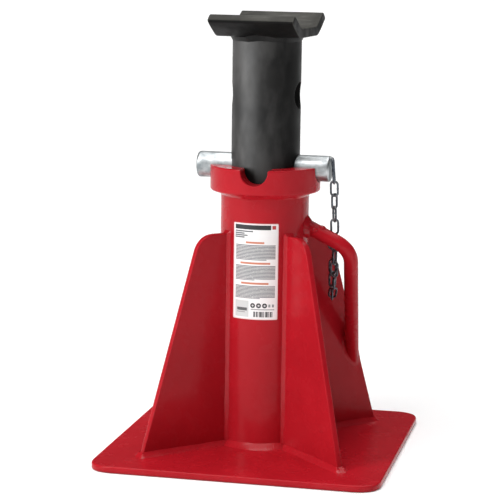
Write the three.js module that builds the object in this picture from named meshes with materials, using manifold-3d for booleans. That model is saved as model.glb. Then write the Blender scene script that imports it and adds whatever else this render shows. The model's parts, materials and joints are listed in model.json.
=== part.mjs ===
// Axle jack stand, the pin type: a welded base with a round sleeve, a ram that slides in it, and a
// steel pin through both, kept on a short chain.
// Millimetres, +Z up. Origin: middle of the base plate's underside. The support pin lies along X.
import * as THREE from 'three';
import { mergeVertices } from 'three/addons/utils/BufferGeometryUtils.js';
import Module from 'manifold-3d';

const wasm = await Module();
wasm.setup();

// ---------------------------------------------------------------- driving dimensions
const GAP = 0.3;                     // air between pieces that touch or are welded together
const V3 = (x, y, z) => new THREE.Vector3(x, y, z);

const BASE_SIDE = 275;
const BASE_THICK = 6.5;
const BASE_CORNER = 25;
const BASE_EDGE = 1.6;               // rounding of the plate's edges

const SLEEVE_R = 42.5;
const SLEEVE_BORE_R = 34.5;
const COLLAR_R = 53;
const COLLAR_BOTTOM = 253;
const COLLAR_TOP = 277.5;
const COLLAR_CHAMFER = 2.5;

const PIN_R = 12.5;
const PIN_Z = 275.5;
const PIN_LEFT = -66;
const PIN_RIGHT = 64;
const PIN_CHAMFER = 2.5;
const NOTCH_R = 13;                  // round seats in the collar for the pin

const RAM_R = 33;
const RAM_BORE_R = 27;
const RAM_TOP = 400;
const RAM_LENGTH = 264.5;
const HOLE_R = 13.3;                 // pin holes in the ram
const HOLE_PITCH = 70;

const SADDLE_LENGTH = 83;
const SADDLE_YAW = -4.5;             // degrees; the saddle is welded on slightly turned
const SADDLE_UNDERSIDE = 400.5;
const SADDLE_FLOOR = 409.7;
const SADDLE_BELLY = [46.6, 408.6];   // the bend of the sloping underside: across, up
const SADDLE_LIP_LOW = [58, 416.2];  // outer lower edge of a lip
const SADDLE_LIP_TIP = [49.5, 422.5];

const GUSSET_THICK = 6;
const GUSSET_TOP = 214;
const GUSSET_REACH = 137.67;         // radius of the sloped outer edge where it would meet the floor
const GUSSET_SLOPE = 0.3;            // radius lost per millimetre of height
const GUSSET_TOP_SETBACK = 17;

const HANDLE_R = 7;
const HANDLE_WELD = V3(40, -2.1, 220.6);      // where the bar's axis enters the sleeve
const HANDLE_CORNER = V3(85.7, -4.5, 199.3);  // where the two straight legs would meet
const HANDLE_FOOT = V3(76, 71.7, 84);         // where the long leg's axis meets the rear gusset
const HANDLE_BEND = 17;                       // distance from the corner to each end of the bend
const HANDLE_RUN_ON = 24;                     // length past the foot, trimmed by the gusset's face

const LABEL_ARC = 60.8;              // degrees round the sleeve
const LABEL_BOTTOM = 133.5;
const LABEL_TOP = 226;
const LABEL_THICK = 0.4;

const WIRE_R = 1.05;                 // chain wire
const LINK_HALF_WIDTH = 3.55;        // to the wire's centre
const LINK_SPACING = 12.6;           // distance from joint to joint
const LINK_HALF_LENGTH = LINK_SPACING / 2 + WIRE_R + GAP / 2;
const PIN_LOOP_WIRE_R = 1.1;

// Joints of the chain, from the support pin's loop to the eye on the handle.
const PIN_LOOP_TOP = V3(65.6, 0, 284.5);
const UPPER_START = V3(67.1, 1.8, 262.6);
const UPPER_END = V3(67.4, 8.4, 212.63);
const TAIL_START = V3(68.2, 9.1, 207.8);
const TAIL_TURN = V3(66.6, 11.7, 157.49);
const TURN_LINK_FROM = V3(66.6, 11.7, 157.89);
const TURN_LINK_TO = V3(64, 19.2, 148.1);
const TAIL_LOWEST = V3(64, 19.5, 146.1);
const TAIL_END = V3(64, 19.5, 196.5);

// ---------------------------------------------------------------- materials
const paint = (color, roughness, metalness) => () =>
  new THREE.MeshStandardMaterial({ color, roughness, metalness });
const redEnamel = paint(0xb8212b, 0.25, 0.1);
const blackFinish = paint(0x3a3b3b, 0.45, 0.6);
const forgedBlack = paint(0x474641, 0.6, 0.5);
const zinc = paint(0xc3c8c9, 0.3, 0.9);
const darkZinc = paint(0x5a6066, 0.35, 0.9);
const printedVinyl = paint(0xf2efee, 0.4, 0);

// ---------------------------------------------------------------- geometry helpers
// A closed three.js geometry as a manifold solid.
function solid(geometry) {
  const bare = geometry.clone();
  bare.deleteAttribute('normal');
  bare.deleteAttribute('uv');
  const merged = mergeVertices(bare, 1e-4);
  const mesh = new wasm.Mesh({
    numProp: 3,
    vertProperties: merged.attributes.position.array,
    triVerts: Uint32Array.from(merged.index.array),
  });
  return new wasm.Manifold(mesh);
}

// A manifold solid as a three.js geometry.
function geometryOf(body) {
  const { vertProperties, triVerts } = body.getMesh();
  const geometry = new THREE.BufferGeometry();
  geometry.setAttribute('position', new THREE.BufferAttribute(vertProperties, 3));
  geometry.setIndex(new THREE.BufferAttribute(triVerts, 1));
  geometry.computeVertexNormals();
  return geometry;
}

// A solid of revolution about Z. The profile is a closed loop of [radius, height] points.
function revolve(profile, segments) {
  const points = profile.map(([r, z]) => new THREE.Vector2(r, z));
  const onAxis = profile[0][0] === 0;
  if (!onAxis) points.push(points[0].clone());
  return new THREE.LatheGeometry(points, segments).rotateX(Math.PI / 2);
}

// A closed outline whose corners are cut back by a distance and rounded.
// Each corner is [x, y, setback]; a setback of 0 leaves it sharp.
function roundedOutline(corners) {
  const shape = new THREE.Shape();
  corners.forEach(([x, y, setback], i) => {
    const corner = new THREE.Vector2(x, y);
    const towards = (j) => {
      const [a, b] = corners[(j + corners.length) % corners.length];
      return new THREE.Vector2(a, b).sub(corner).normalize().multiplyScalar(setback).add(corner);
    };
    const start = towards(i - 1);
    const end = towards(i + 1);
    if (i === 0) shape.moveTo(start.x, start.y);
    else shape.lineTo(start.x, start.y);
    if (setback > 0) shape.quadraticCurveTo(x, y, end.x, end.y);
  });
  shape.closePath();
  return shape;
}

function circle(radius, sides) {
  const shape = new THREE.Shape();
  for (let i = 0; i < sides; i++) {
    const a = (2 * Math.PI * i) / sides;
    shape[i ? 'lineTo' : 'moveTo'](radius * Math.cos(a), radius * Math.sin(a));
  }
  return shape.closePath();
}

// A round bar lying along X or Y, long enough to cut right through the stand.
function crossBar(radius, z, alongY) {
  const bar = new THREE.CylinderGeometry(radius, radius, 2 * BASE_SIDE, 32);
  if (!alongY) bar.rotateZ(Math.PI / 2);
  return solid(bar.translate(0, 0, z));
}

const stand = new THREE.Group();
function add(name, geometry, material, place) {
  const mesh = new THREE.Mesh(geometry, material());
  mesh.name = name;
  if (place) place(mesh);
  stand.add(mesh);
  return mesh;
}

// ---------------------------------------------------------------- welded base
function basePlate() {
  const h = BASE_SIDE / 2;
  const outline = roundedOutline([
    [-h, -h, BASE_CORNER], [h, -h, BASE_CORNER], [h, h, BASE_CORNER], [-h, h, BASE_CORNER],
  ]);
  const plate = new THREE.ExtrudeGeometry(outline, {
    depth: BASE_THICK - 2 * BASE_EDGE,
    bevelThickness: BASE_EDGE,
    bevelSize: BASE_EDGE,
    bevelOffset: -BASE_EDGE,
    bevelSegments: 3,
    curveSegments: 8,
  });
  return plate.translate(0, 0, BASE_EDGE);
}

function sleeve() {
  const bottom = BASE_THICK + GAP;
  const top = COLLAR_BOTTOM - GAP;
  return revolve([[SLEEVE_BORE_R, bottom], [SLEEVE_R, bottom], [SLEEVE_R, top], [SLEEVE_BORE_R, top]], 48);
}

// The load ring on top of the sleeve, with a round pin seat at each quarter turn.
function collar() {
  const ring = solid(revolve([
    [SLEEVE_BORE_R, COLLAR_BOTTOM],
    [COLLAR_R - COLLAR_CHAMFER, COLLAR_BOTTOM],
    [COLLAR_R, COLLAR_BOTTOM + COLLAR_CHAMFER],
    [COLLAR_R, COLLAR_TOP - 1],
    [COLLAR_R - 1, COLLAR_TOP],
    [SLEEVE_BORE_R, COLLAR_TOP],
  ], 64));
  const seatZ = PIN_Z - PIN_R - GAP + NOTCH_R;
  return geometryOf(ring.subtract(crossBar(NOTCH_R, seatZ, false)).subtract(crossBar(NOTCH_R, seatZ, true)));
}

// One of the four upright plates, drawn in its own plane: x is the distance from the axis.
function gusset() {
  const inner = SLEEVE_R + GAP;
  const bottom = BASE_THICK + GAP;
  const edgeAt = (z) => GUSSET_REACH - GUSSET_SLOPE * z;
  const outline = roundedOutline([
    [inner, bottom, 0],
    [edgeAt(bottom), bottom, 0],
    [edgeAt(GUSSET_TOP), GUSSET_TOP, GUSSET_TOP_SETBACK],
    [inner, GUSSET_TOP, 0],
  ]);
  const plate = new THREE.ExtrudeGeometry(outline, {
    depth: GUSSET_THICK, bevelEnabled: false, curveSegments: 8,
  });
  return plate.translate(0, 0, -GUSSET_THICK / 2).rotateX(Math.PI / 2);
}

// A carrying handle of round bar: a short leg from the sleeve, a bend, and a long leg that leans
// back to the front face of the rear right gusset. Both ends are trimmed to what they are welded to.
function handle() {
  const legStart = HANDLE_WELD;
  const corner = HANDLE_CORNER;
  const legDir = corner.clone().sub(legStart).normalize();
  const gripDir = HANDLE_FOOT.clone().sub(corner).normalize();
  const bendStart = corner.clone().addScaledVector(legDir, -HANDLE_BEND);
  const bendEnd = corner.clone().addScaledVector(gripDir, HANDLE_BEND);
  const path = new THREE.CurvePath();
  path.add(new THREE.LineCurve3(legStart, bendStart));
  path.add(new THREE.QuadraticBezierCurve3(bendStart, corner, bendEnd));
  path.add(new THREE.LineCurve3(bendEnd, HANDLE_FOOT.clone().addScaledVector(gripDir, HANDLE_RUN_ON)));
  const bar = new THREE.ExtrudeGeometry(circle(HANDLE_R, 12), { steps: 28, extrudePath: path });
  const sleeveSpace = new THREE.CylinderGeometry(SLEEVE_R + GAP, SLEEVE_R + GAP, BASE_SIDE, 96);
  sleeveSpace.rotateX(Math.PI / 2).translate(0, 0, HANDLE_WELD.z);
  const behindGusset = new THREE.BoxGeometry(BASE_SIDE, BASE_SIDE, BASE_SIDE);
  behindGusset.translate(BASE_SIDE / 2, BASE_SIDE / 2 - GUSSET_THICK / 2 - GAP, 0).rotateZ(Math.PI / 4);
  return geometryOf(solid(bar).subtract(solid(sleeveSpace)).subtract(solid(behindGusset)));
}

// A printed sheet wrapped round the front of the sleeve.
function label() {
  const half = (LABEL_ARC / 2) * (Math.PI / 180);
  const inner = SLEEVE_R + GAP;
  const outer = inner + LABEL_THICK;
  const front = -Math.PI / 2;
  const shape = new THREE.Shape();
  shape.absarc(0, 0, outer, front - half, front + half, false);
  shape.absarc(0, 0, inner, front + half, front - half, true);
  shape.closePath();
  const sheet = new THREE.ExtrudeGeometry(shape, {
    depth: LABEL_TOP - LABEL_BOTTOM, bevelEnabled: false, curveSegments: 16,
  });
  return sheet.translate(0, 0, LABEL_BOTTOM);
}

// ---------------------------------------------------------------- ram and saddle
// A tube with pairs of pin holes through it, one pitch apart.
function ramTube() {
  const bottom = RAM_TOP - RAM_LENGTH;
  let tube = solid(revolve([
    [RAM_BORE_R, bottom], [RAM_R - 1, bottom], [RAM_R, bottom + 1], [RAM_R, RAM_TOP], [RAM_BORE_R, RAM_TOP],
  ], 48));
  const holeZ = PIN_Z - (HOLE_R - PIN_R - GAP);
  for (const step of [-1, 0, 1]) {
    tube = tube.subtract(crossBar(HOLE_R, holeZ + step * HOLE_PITCH, false));
  }
  return geometryOf(tube);
}

// A thick plate with both long edges bent up into lips, drawn in profile and extruded along X.
function saddle() {
  const half = [
    [31, SADDLE_UNDERSIDE, 4], [...SADDLE_BELLY, 9], [...SADDLE_LIP_LOW, 2.5], [...SADDLE_LIP_TIP, 3],
    [26.5, SADDLE_FLOOR, 3],
  ];
  const mirrored = half.map(([y, z, setback]) => [-y, z, setback]).reverse();
  const edge = 0.8;
  const plate = new THREE.ExtrudeGeometry(roundedOutline([...half, ...mirrored]), {
    depth: SADDLE_LENGTH - 2 * edge,
    bevelThickness: edge,
    bevelSize: edge,
    bevelOffset: -edge,
    bevelSegments: 2,
    curveSegments: 4,
  });
  plate.translate(0, 0, edge - SADDLE_LENGTH / 2);
  plate.rotateX(Math.PI / 2).rotateZ(Math.PI / 2);
  return plate;
}

// ---------------------------------------------------------------- pin and chain
function supportPin() {
  const inner = PIN_R - PIN_CHAMFER;
  const profile = [
    [0, PIN_LEFT], [inner, PIN_LEFT], [PIN_R, PIN_LEFT + PIN_CHAMFER],
    [PIN_R, PIN_RIGHT - PIN_CHAMFER], [inner, PIN_RIGHT], [0, PIN_RIGHT],
  ];
  return revolve(profile, 32).rotateY(Math.PI / 2);
}

// An oval ring of round wire in the XY plane, long axis along Y: a torus pulled apart at the middle.
function link(halfLength, halfWidth, wireR) {
  const segments = 12;
  const ring = new THREE.TorusGeometry(halfWidth, wireR, 6, segments).rotateZ(Math.PI / segments);
  const position = ring.attributes.position;
  const pull = halfLength - halfWidth;
  for (let i = 0; i < position.count; i++) {
    position.setY(i, position.getY(i) + Math.sign(position.getY(i)) * pull);
  }
  return ring;
}

// Lays an oval ring from one point to another, turned about its own long axis (degrees).
function span(from, to, turn) {
  return (mesh) => {
    mesh.position.copy(from).add(to).multiplyScalar(0.5);
    mesh.quaternion.setFromUnitVectors(V3(0, 1, 0), to.clone().sub(from).normalize());
    mesh.rotateY(THREE.MathUtils.degToRad(turn));
  };
}

// Links one after another along a straight run of joints, each turned against the one before.
function strand(names, from, to, turns) {
  names.forEach((name, i) => {
    const a = from.clone().lerp(to, i / names.length);
    const b = from.clone().lerp(to, (i + 1) / names.length);
    add(name, link(LINK_HALF_LENGTH, LINK_HALF_WIDTH, WIRE_R), darkZinc, span(a, b, turns[i]));
  });
}

function chain() {
  const loopBottom = UPPER_START.clone().sub(PIN_LOOP_TOP);
  const loopHalf = loopBottom.length() / 2 + WIRE_R + GAP / 2;
  const loop = link(loopHalf, LINK_HALF_WIDTH + 0.3, PIN_LOOP_WIRE_R);
  add('pin_loop', loop, darkZinc, span(PIN_LOOP_TOP, UPPER_START, 84));

  const name = (i) => `chain_link_${String(i).padStart(2, '0')}`;
  strand([1, 2, 3, 4].map(name), UPPER_START, UPPER_END, [3, -59, -121, -183]);
  strand([5, 6, 7, 8].map(name), TAIL_START, TAIL_TURN, [5, -75, 10, 75]);
  strand([name(9)], TURN_LINK_FROM, TURN_LINK_TO, [0]);
  strand([10, 11, 12, 13].map(name), TAIL_LOWEST, TAIL_END, [105, 43, -19, -81]);

  // The eye is a link welded to the back of the handle's short leg; link 13 hangs from its far end.
  const eyeFar = TAIL_END.clone().setZ(TAIL_END.z - WIRE_R - GAP / 2);
  const along = (eyeFar.x - HANDLE_WELD.x) / (HANDLE_CORNER.x - HANDLE_WELD.x);
  const barAxis = HANDLE_WELD.clone().lerp(HANDLE_CORNER, along);
  const eyeDir = eyeFar.clone().sub(barAxis).normalize();
  const eyeNear = barAxis.clone().addScaledVector(eyeDir, HANDLE_R + GAP + WIRE_R);
  const eye = link(eyeNear.distanceTo(eyeFar) / 2, LINK_HALF_WIDTH, WIRE_R);
  add('chain_eye', eye, darkZinc, span(eyeNear, eyeFar, 0));
}

// ---------------------------------------------------------------- assembly
add('base_plate', basePlate(), redEnamel);
add('sleeve', sleeve(), redEnamel);
add('collar', collar(), redEnamel);
const gussetTurns = {
  gusset_rear_right: 45, gusset_rear_left: 135, gusset_front_left: 225, gusset_front_right: 315,
};
for (const [name, turn] of Object.entries(gussetTurns)) {
  add(name, gusset(), redEnamel, (mesh) => mesh.rotateZ(THREE.MathUtils.degToRad(turn)));
}
add('carry_handle', handle(), redEnamel);
add('label', label(), printedVinyl);
add('ram_tube', ramTube(), blackFinish);
add('saddle', saddle(), forgedBlack, (mesh) => mesh.rotateZ(THREE.MathUtils.degToRad(SADDLE_YAW)));
add('support_pin', supportPin(), zinc, (mesh) => mesh.position.set(0, 0, PIN_Z));
chain();

export default stand;
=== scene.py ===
import json
from dataclasses import dataclass
from math import asin, atan2, copysign, cos, exp, pi, radians, sin, sqrt

import bmesh
import bpy
import numpy as np
from mathutils import Matrix, Vector


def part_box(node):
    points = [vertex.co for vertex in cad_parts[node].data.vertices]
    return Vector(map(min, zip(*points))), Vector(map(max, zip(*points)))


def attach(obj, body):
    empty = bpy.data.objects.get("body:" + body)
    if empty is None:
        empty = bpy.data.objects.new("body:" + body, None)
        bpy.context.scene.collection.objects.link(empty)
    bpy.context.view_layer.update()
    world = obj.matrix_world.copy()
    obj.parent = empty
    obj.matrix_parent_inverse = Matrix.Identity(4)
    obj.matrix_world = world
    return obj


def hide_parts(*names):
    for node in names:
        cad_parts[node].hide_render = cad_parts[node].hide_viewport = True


# Axle jack stand: the looks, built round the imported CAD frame. Metres, +Z up, pin along X.
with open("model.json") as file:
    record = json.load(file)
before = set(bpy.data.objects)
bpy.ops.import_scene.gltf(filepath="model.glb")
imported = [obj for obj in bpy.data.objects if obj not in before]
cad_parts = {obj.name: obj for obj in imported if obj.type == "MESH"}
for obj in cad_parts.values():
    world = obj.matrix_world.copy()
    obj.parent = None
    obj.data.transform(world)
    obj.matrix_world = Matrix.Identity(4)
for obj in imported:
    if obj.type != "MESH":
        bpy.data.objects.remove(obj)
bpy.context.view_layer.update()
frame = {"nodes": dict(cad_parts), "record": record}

MM = 0.001
UP = Vector((0, 0, 1))
RANDOM = np.random.default_rng(11)


# ---------------- camera
CAMERA_TARGET = Vector((0, 0, 0.2))
CAMERA_DISTANCE = 1.7932
CAMERA_AZIMUTH = radians(12.31)
CAMERA_ELEVATION = radians(9.52)
CAMERA_ROLL = radians(0.83)
CAMERA_LENS = 134.9
CAMERA_SHIFT = (-0.0353, -0.0066)


def make_camera():
    az, el, roll = CAMERA_AZIMUTH, CAMERA_ELEVATION, CAMERA_ROLL
    back = Vector((sin(az) * cos(el), -cos(az) * cos(el), sin(el)))
    right = Vector((cos(az), sin(az), 0))
    up = back.cross(right)
    rolled_right = right * cos(roll) + up * sin(roll)
    rolled_up = up * cos(roll) - right * sin(roll)
    data = bpy.data.cameras.new("camera")
    data.lens = CAMERA_LENS
    data.shift_x, data.shift_y = CAMERA_SHIFT
    data.clip_end = 200
    camera = bpy.data.objects.new("camera", data)
    turn = Matrix((rolled_right, rolled_up, back)).transposed().to_4x4()
    camera.matrix_world = Matrix.Translation(CAMERA_TARGET + back * CAMERA_DISTANCE) @ turn
    bpy.context.scene.collection.objects.link(camera)
    bpy.context.scene.camera = camera


# ---------------- sizes taken from the frame
def half_size(node, axis):
    low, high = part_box(node)
    return (high[axis] - low[axis]) / 2


BASE_HALF = half_size("base_plate", 0)
BASE_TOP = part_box("base_plate")[1].z
SLEEVE_R = half_size("sleeve", 0)
COLLAR_R = half_size("collar", 0)
COLLAR_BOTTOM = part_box("collar")[0].z
COLLAR_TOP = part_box("collar")[1].z
RAM_R = half_size("ram_tube", 0)
RAM_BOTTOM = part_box("ram_tube")[0].z
RAM_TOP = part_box("ram_tube")[1].z
PIN_R = half_size("support_pin", 1)
PIN_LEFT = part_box("support_pin")[0].x
PIN_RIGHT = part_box("support_pin")[1].x
PIN_Z = (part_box("support_pin")[0].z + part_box("support_pin")[1].z) / 2
GUSSET_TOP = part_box("gusset_rear_right")[1].z
LABEL_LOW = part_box("label")[0].z
LABEL_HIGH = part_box("label")[1].z

SUNK = 0.3 * MM                      # how far a welded edge runs into the piece it is welded to
BASE_CORNER = 25 * MM
BASE_EDGE = 1.6 * MM
SLEEVE_BORE_R = 34.5 * MM
GUSSET_HALF = 3 * MM
GUSSET_REACH = 137.67 * MM
GUSSET_SLOPE = 0.3
GUSSET_TOP_SETBACK = 17 * MM
GUSSET_TURNS = {
    "gusset_rear_right": 45,
    "gusset_rear_left": 135,
    "gusset_front_left": 225,
    "gusset_front_right": 315,
}


# ---------------- mesh helpers
def full_turn(count):
    """Angles spaced evenly round a full turn."""
    return np.linspace(0, 2 * pi, count, endpoint=False)


def outwards(angle):
    """The level direction at an angle round Z."""
    return Vector((cos(angle), sin(angle), 0))


def ring_round(centre, first, second, radius, count):
    """A circle of points in the plane of two directions."""
    return [centre + (first * cos(a) + second * sin(a)) * radius for a in full_turn(count)]


def across(axis):
    """Two directions square to an axis and to each other."""
    first = axis.orthogonal().normalized()
    return first, axis.cross(first)


def bend(start, corner, end, t):
    """A point of the curve from start to end that leans towards the corner, t from 0 to 1."""
    return start * (1 - t) ** 2 + corner * 2 * t * (1 - t) + end * t * t


MERGE = 0.002 * MM                   # points closer than this become one


class Patchwork:
    """A mesh gathered from grids of points; points that meet are merged at the end."""

    def __init__(self):
        self.points = []
        self.faces = []
        self.edge = []

    def grid(self, rows, close_rows=False, close_columns=False, edge=None):
        """Quads between rows of points. edge gives each row's edge value, 1 on a rounded edge."""
        start = len(self.points)
        count = len(rows[0])
        for i, row in enumerate(rows):
            self.points.extend(row)
            self.edge.extend([edge[i] if edge else 0.0] * count)
        for i in range(len(rows) if close_rows else len(rows) - 1):
            a = start + i * count
            b = start + ((i + 1) % len(rows)) * count
            for j in range(count if close_columns else count - 1):
                k = (j + 1) % count
                self.faces.append((a + j, a + k, b + k, b + j))

    def polygon(self, points):
        start = len(self.points)
        self.points.extend(points)
        self.edge.extend([0.0] * len(points))
        self.faces.append(tuple(range(start, start + len(points))))

    def tube(self, outlines, ring=False, edge=None):
        """A tube through closed outlines: joined into a ring, or with a face over each end."""
        self.grid(outlines, close_rows=ring, close_columns=True, edge=edge)
        if not ring:
            self.polygon(outlines[0])
            self.polygon(outlines[-1])
        return self

    def finish(self, name, material, sharp=40):
        mesh = bpy.data.meshes.new(name)
        mesh.from_pydata([tuple(p) for p in self.points], [], self.faces)
        attribute = mesh.attributes.new("edge", "FLOAT", "POINT")
        attribute.data.foreach_set("value", np.array(self.edge, np.float32))
        work = bmesh.new()
        work.from_mesh(mesh)
        bmesh.ops.remove_doubles(work, verts=work.verts, dist=MERGE)
        bmesh.ops.recalc_face_normals(work, faces=work.faces)
        work.to_mesh(mesh)
        work.free()
        mesh.shade_smooth()
        mesh.set_sharp_from_angle(angle=radians(sharp))
        mesh.materials.append(material)
        piece = bpy.data.objects.new(name, mesh)
        bpy.context.scene.collection.objects.link(piece)
        return piece


def settle(piece, body, slot, *nodes):
    """The piece rides on its body and stands for its CAD nodes, which are hidden. slot is not used."""
    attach(piece, body)
    if nodes:
        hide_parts(*nodes)
    return piece


def rounded_corners(corners, steps):
    """A closed outline in the plane. Each corner is (x, y, setback) and is rounded over its setback."""
    outline = []
    for i, (x, y, setback) in enumerate(corners):
        corner = Vector((x, y))
        if setback == 0:
            outline.append(corner)
            continue
        before = Vector(corners[i - 1][:2])
        after = Vector(corners[(i + 1) % len(corners)][:2])
        start = corner + (before - corner).normalized() * setback
        end = corner + (after - corner).normalized() * setback
        outline += [bend(start, corner, end, k / steps) for k in range(steps + 1)]
    return outline


def inset(outline, distance):
    """The outline, anticlockwise, moved inwards by a distance."""
    moved = []
    for i, point in enumerate(outline):
        before = (point - outline[i - 1]).normalized()
        after = (outline[(i + 1) % len(outline)] - point).normalized()
        normal = Vector((-before.y - after.y, before.x + after.x)).normalized()
        spread = max(0.35, normal.dot(Vector((-before.y, before.x))))
        moved.append(point + normal * distance / spread)
    return moved


def round_edge(steps):
    """(distance in, distance down) of the points round a unit edge, from the flat face to the side."""
    angles = [0.5 * pi * k / steps for k in range(steps + 1)]
    return [(1 - sin(a), 1 - cos(a)) for a in angles]


def marked_edge(radius, steps):
    """(distance in, distance down, edge value) of the points round an edge of this radius."""
    return [(radius * d, radius * h, sin(pi * k / steps))
            for k, (d, h) in enumerate(round_edge(steps))]


def slab(outline, low, high, edge, place, steps=4, support=0.5 * MM):
    """A plate with this outline and rounded edges. place(x, y, height) puts a point in space. support
    is the width of the flat band kept inside each rounded edge."""
    rounding = marked_edge(edge, steps)
    levels = [(edge + support, low, 0.0)]
    levels += [(d, low + h, mark) for d, h, mark in rounding]
    levels += [(d, high - h, mark) for d, h, mark in reversed(rounding)]
    levels.append((edge + support, high, 0.0))
    rings = [[place(p.x, p.y, height) for p in inset(outline, distance)]
             for distance, height, _ in levels]
    return Patchwork().tube(rings, edge=[mark for _, _, mark in levels])


def circle_points(radius, z, sides):
    return [Vector((radius * cos(a), radius * sin(a), z)) for a in full_turn(sides)]


def turned(profile, sides, hollow):
    """A turned piece about Z. A hollow one's profile closes on itself, a solid one's is capped."""
    rings = [circle_points(r, z, sides) for r, z, _ in profile]
    return Patchwork().tube(rings, ring=hollow, edge=[mark for _, _, mark in profile])


def frames_along(points):
    """Two side directions at each point of an open path, without twist."""
    last = len(points) - 1
    tangents = [(points[min(i + 1, last)] - points[max(i - 1, 0)]).normalized()
                for i in range(last + 1)]
    side = tangents[0].orthogonal().normalized()
    frames = []
    for tangent in tangents:
        side = (side - tangent * side.dot(tangent)).normalized()
        frames.append((side, tangent.cross(side)))
    return frames


# ---------------- weld beads
RIPPLE_PITCH = 2.3 * MM
RIPPLE_HEIGHT = 0.22 * MM
RIPPLE_LAG = 1.5 * MM
BEAD_STEP = 0.55 * MM
BEAD_FACE_STEPS = 7
BEAD_BURIED = 0.35 * MM
BEAD_WANDER = 0.05                   # share of its size that a bead's width wanders by
SLOW_WANDER = 13 * MM
QUICK_WANDER = 4.7 * MM
TURN_STEPS = 8
TURN_LENGTH = 0.12 * MM              # length counted for each step of a turn on the spot
WELD_SHARP = 75                      # degrees between faces from which a weld's shading breaks


def span(first, last):
    """Stations from one key to the next. A key is (root, along one surface, along the other)."""
    length = (last[0] - first[0]).length
    steps = max(TURN_STEPS, int(length / BEAD_STEP))
    stations = []
    for k in range(steps):
        t = k / steps
        root = first[0].lerp(last[0], t)
        stations.append((root, first[1].lerp(last[1], t).normalized(),
                         first[2].lerp(last[2], t).normalized()))
    return stations


def run(keys):
    stations = []
    for first, last in zip(keys, keys[1:]):
        stations += span(first, last)
    stations.append(keys[-1])
    return stations


def bead_section(root, a, b, legs, ripple_at, fullness):
    """The closed section of a fillet weld whose toes lie along a and b from the root."""
    toe_a = root + a * legs[0]
    toe_b = root + b * legs[1]
    middle = root + (a * legs[0] + b * legs[1]) * fullness
    out = (a + b).normalized()
    bury = out * BEAD_BURIED
    section = [root - bury, toe_a - bury]
    for k in range(BEAD_FACE_STEPS + 1):
        t = k / BEAD_FACE_STEPS
        crown = 4 * t * (1 - t)
        phase = (ripple_at + RIPPLE_LAG * crown) / RIPPLE_PITCH
        ripple = RIPPLE_HEIGHT * crown * abs(sin(pi * phase))
        section.append(bend(toe_a, middle, toe_b, t) + out * ripple)
    section.append(toe_b - bury)
    return section


def bead(stations, legs, closed=False, fullness=0.42, fit=None):
    """A weld bead along its stations, with ripples and a wandering width."""
    along = [0.0]
    for (p, _, _), (q, _, _) in zip(stations, stations[1:]):
        along.append(along[-1] + max((q - p).length, TURN_LENGTH))
    total = along[-1]
    phases = RANDOM.uniform(0, 2 * pi, 3)
    rings = []
    for (root, a, b), s in zip(stations, along):
        turn = 2 * pi * s / total
        if closed:
            wander = sin(5 * turn + phases[0]) + 0.6 * sin(11 * turn + phases[1])
        else:
            wander = sin(s / SLOW_WANDER + phases[0]) + 0.6 * sin(s / QUICK_WANDER + phases[1])
        size = 1 + BEAD_WANDER * wander
        scaled = (legs[0] * size, legs[1] * size)
        section = bead_section(root, a, b, scaled, s + phases[2] * MM, fullness)
        rings.append([fit(p) for p in section] if fit else section)
    return Patchwork().tube(rings, ring=closed)


# ---------------- shader helpers
class Shader:
    """Short calls for the nodes of one material."""

    def __init__(self, name):
        self.material = bpy.data.materials.new(name)
        self.material.use_nodes = True
        self.tree = self.material.node_tree
        self.surface = self.tree.nodes["Principled BSDF"]

    def feed(self, socket, value):
        if isinstance(value, bpy.types.NodeSocket):
            self.tree.links.new(value, socket)
        elif hasattr(socket.default_value, "__len__") and len(socket.default_value) == 4:
            socket.default_value = (*value, 1) if len(value) == 3 else value
        else:
            socket.default_value = value

    def node(self, kind, inputs, output=0, **settings):
        node = self.tree.nodes.new("ShaderNode" + kind)
        for key, value in settings.items():
            setattr(node, key, value)
        for key, value in inputs.items():
            self.feed(node.inputs[key], value)
        return node.outputs[output]

    def math(self, operation, a, b=0.0, c=0.0):
        return self.node("Math", {0: a, 1: b, 2: c}, operation=operation)

    def times(self, a, b):
        return self.math("MULTIPLY", a, b)

    def place(self):
        """The point in the piece's own frame, in metres."""
        return self.node("TexCoord", {}, output="Object")

    def stretched(self, scale):
        return self.node("Mapping", {"Vector": self.place(), "Scale": scale})

    def noise(self, scale, detail=2.0, where=None):
        inputs = {"Vector": where or self.place(), "Scale": scale, "Detail": detail, "Roughness": 0.5}
        return self.node("TexNoise", inputs, output="Fac")

    def between(self, value, low, high, to_low=0.0, to_high=1.0):
        inputs = {"Value": value, "From Min": low, "From Max": high, "To Min": to_low, "To Max": to_high}
        return self.node("MapRange", inputs, interpolation_type="SMOOTHSTEP")

    def drift(self, scale, detail, low=0.0, high=1.0):
        """A value that wanders between two limits over the surface."""
        return self.between(self.noise(scale, detail), 0.3, 0.7, low, high)

    def mix(self, factor, first, second):
        return self.node("Mix", {0: factor, 6: first, 7: second}, output=2, data_type="RGBA")

    def bump(self, height, distance, strength=1.0, under=None):
        inputs = {"Height": height, "Distance": distance, "Strength": strength}
        if under is not None:
            inputs["Normal"] = under
        return self.node("Bump", inputs)

    def attribute(self, name, output="Fac"):
        return self.node("Attribute", {}, output=output, attribute_name=name)

    def crevice(self, distance):
        """0 deep in a corner, 1 in the open."""
        return self.node("AmbientOcclusion", {"Distance": distance}, output="AO", samples=6)

    def set(self, **inputs):
        for key, value in inputs.items():
            self.feed(self.surface.inputs[key.replace("_", " ")], value)

    def finished(self, colour, rough, normal, **inputs):
        self.set(Base_Color=colour, Roughness=rough, Normal=normal, **inputs)
        return self.material


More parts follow.
